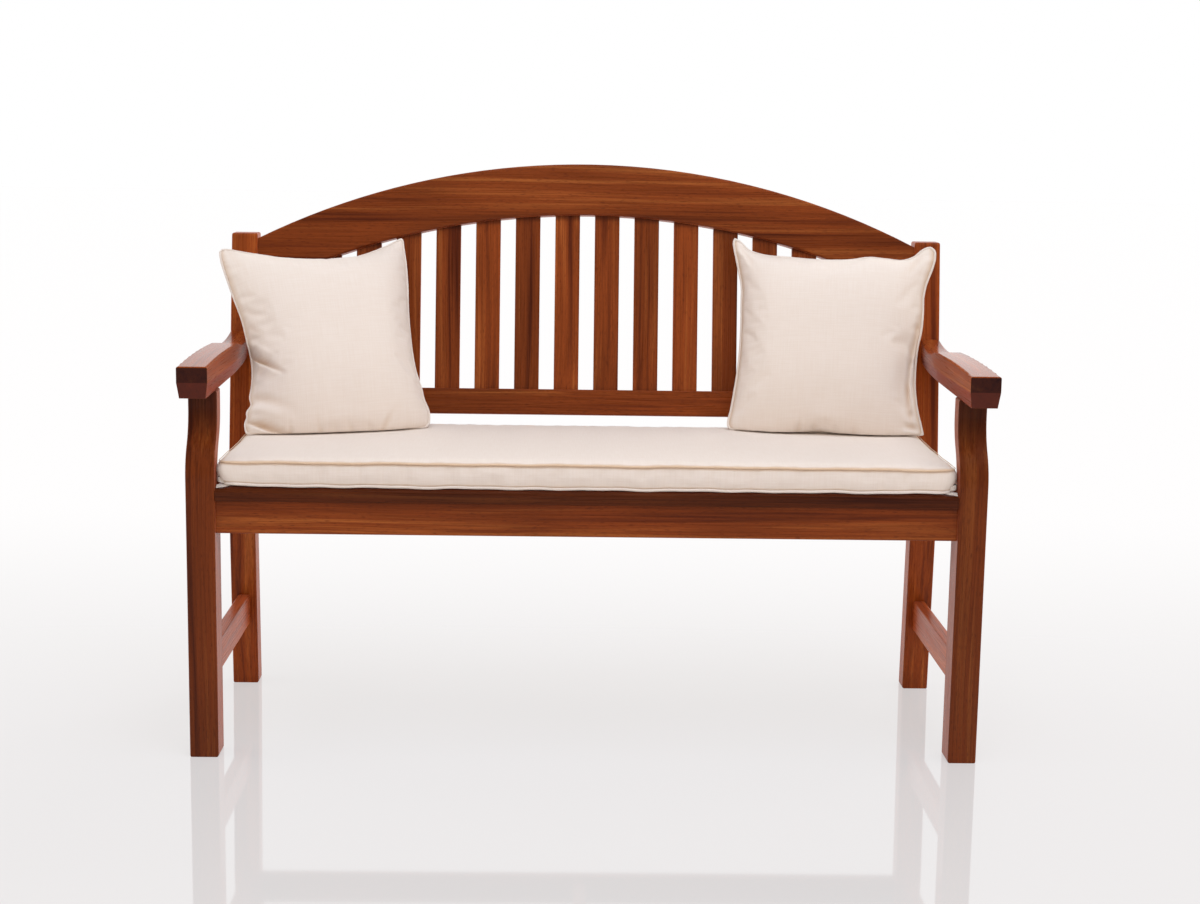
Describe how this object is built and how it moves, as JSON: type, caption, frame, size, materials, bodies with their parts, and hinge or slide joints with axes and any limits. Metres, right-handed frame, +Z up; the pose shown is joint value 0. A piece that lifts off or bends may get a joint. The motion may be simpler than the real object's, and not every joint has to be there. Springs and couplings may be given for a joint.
{
  "type": "garden loveseat bench",
  "caption": "Two-seat slatted hardwood garden bench with an arched back, curved front legs, a piped seat cushion and loose pillows.",
  "frame": {"origin": "on the floor under the middle of the bench's bounding box", "axes": "+X to the bench's right as seen from the front, +Y to the back, +Z up"},
  "size_m": [1.254, 0.5812, 0.9276],
  "materials": {
    "oiled_hardwood": "oiled, satin",
    "peg_hardwood": "oiled end grain",
    "screw_steel": "satin stainless steel",
    "cream_fabric": "woven, matt"
  },
  "bodies": {
    "frame": {"front_leg_left": "oiled_hardwood", "front_leg_right": "oiled_hardwood", "back_leg_left": "oiled_hardwood", "back_leg_right": "oiled_hardwood", "arm_left": "oiled_hardwood", "arm_right": "oiled_hardwood", "arched_top_rail": "oiled_hardwood", "lower_back_rail": "oiled_hardwood", "back_slat_01": "oiled_hardwood", "back_slat_02": "oiled_hardwood", "back_slat_03": "oiled_hardwood", "back_slat_04": "oiled_hardwood", "back_slat_05": "oiled_hardwood", "back_slat_06": "oiled_hardwood", "back_slat_07": "oiled_hardwood", "back_slat_08": "oiled_hardwood", "back_slat_09": "oiled_hardwood", "back_slat_10": "oiled_hardwood", "back_slat_11": "oiled_hardwood", "back_slat_12": "oiled_hardwood", "back_slat_13": "oiled_hardwood", "back_slat_14": "oiled_hardwood", "back_slat_15": "oiled_hardwood", "back_slat_16": "oiled_hardwood", "front_apron": "oiled_hardwood", "rear_apron": "oiled_hardwood", "side_apron_left": "oiled_hardwood", "side_apron_right": "oiled_hardwood", "side_stretcher_left": "oiled_hardwood", "side_stretcher_right": "oiled_hardwood", "centre_seat_support": "oiled_hardwood", "seat_nosing": "oiled_hardwood", "seat_slat_1": "oiled_hardwood", "seat_slat_2": "oiled_hardwood", "seat_slat_3": "oiled_hardwood", "seat_slat_4": "oiled_hardwood", "seat_slat_5": "oiled_hardwood", "tenon_pegs": "peg_hardwood", "seat_screws": "screw_steel"},
    "cushion": {"seat_cushion": "cream_fabric"},
    "left_pillow": {"pillow_left": "cream_fabric"},
    "right_pillow": {"pillow_right": "cream_fabric"}
  },
  "joints": [
    {"name": "cushion_lift", "type": "slide", "parent": "frame", "child": "cushion", "axis": [0, 0, 1], "range_m": [0, 0.3]},
    {"name": "left_pillow_lift", "type": "slide", "parent": "cushion", "child": "left_pillow", "axis": [0, 0, 1], "range_m": [0, 0.3]},
    {"name": "right_pillow_lift", "type": "slide", "parent": "cushion", "child": "right_pillow", "axis": [0, 0, 1], "range_m": [0, 0.3]}
  ]
}
